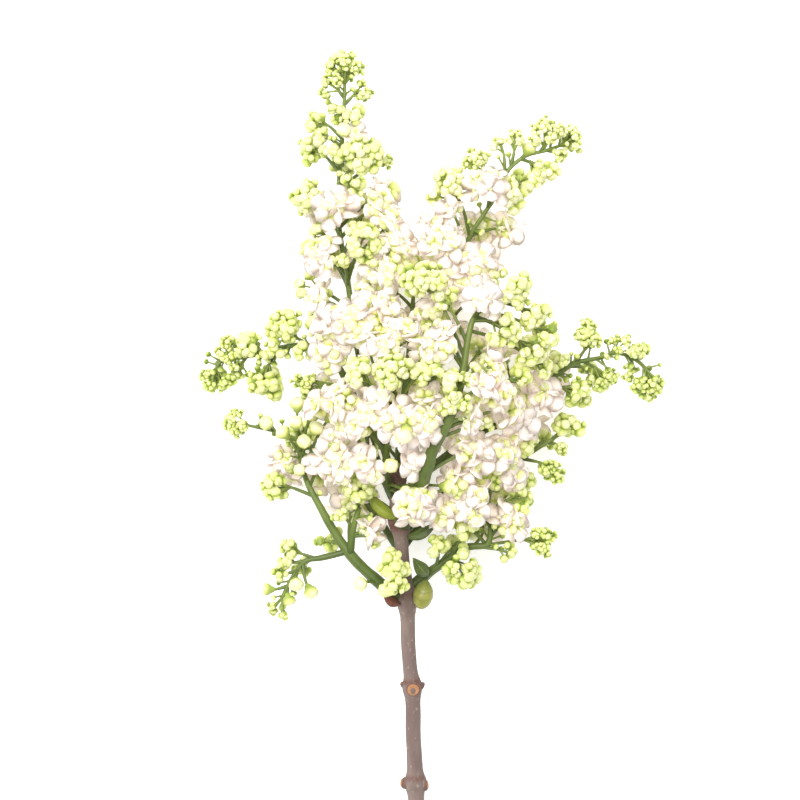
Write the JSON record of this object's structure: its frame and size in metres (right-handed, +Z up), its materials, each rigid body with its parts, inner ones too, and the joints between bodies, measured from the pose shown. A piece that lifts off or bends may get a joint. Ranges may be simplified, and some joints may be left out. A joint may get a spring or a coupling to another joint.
{
  "type": "lilac stem",
  "caption": "Cut woody lilac stem with forking flowering panicles of small four-lobed florets and tight bud clusters, a few small leaves and paired leaf scars.",
  "frame": {"origin": "on the table under the middle of the whole stem's outline", "axes": "+Y along the stem from the cut end towards the tip of the tallest panicle, +Z up from the table"},
  "size_m": [0.2144, 0.4035, 0.111],
  "materials": {
    "bark": "dull grey-brown bark with orange-tan leaf scars",
    "blossom": "soft ivory petals, pale green buds and green side stalks",
    "bract": "satin yellow-green",
    "leaf": "satin dark green",
    "bud_scale": "dull reddish brown"
  },
  "bodies": {
    "root": {"woody_stem": "bark", "bract_fork": "bract", "leaf_fork": "leaf", "leaf_shoot": "leaf", "scale_lower_left": "bud_scale", "bud_shoot": "bract", "panicle_top": "blossom", "panicle_upper_right": "blossom", "panicle_left": "blossom", "panicle_right": "blossom", "panicle_front": "blossom", "panicle_front_left": "blossom", "panicle_lower_left": "blossom", "panicle_lower_right": "blossom", "panicle_right_lower": "blossom", "panicle_back": "blossom", "panicle_back_right": "blossom", "panicle_back_left": "blossom"}
  },
  "joints": []
}
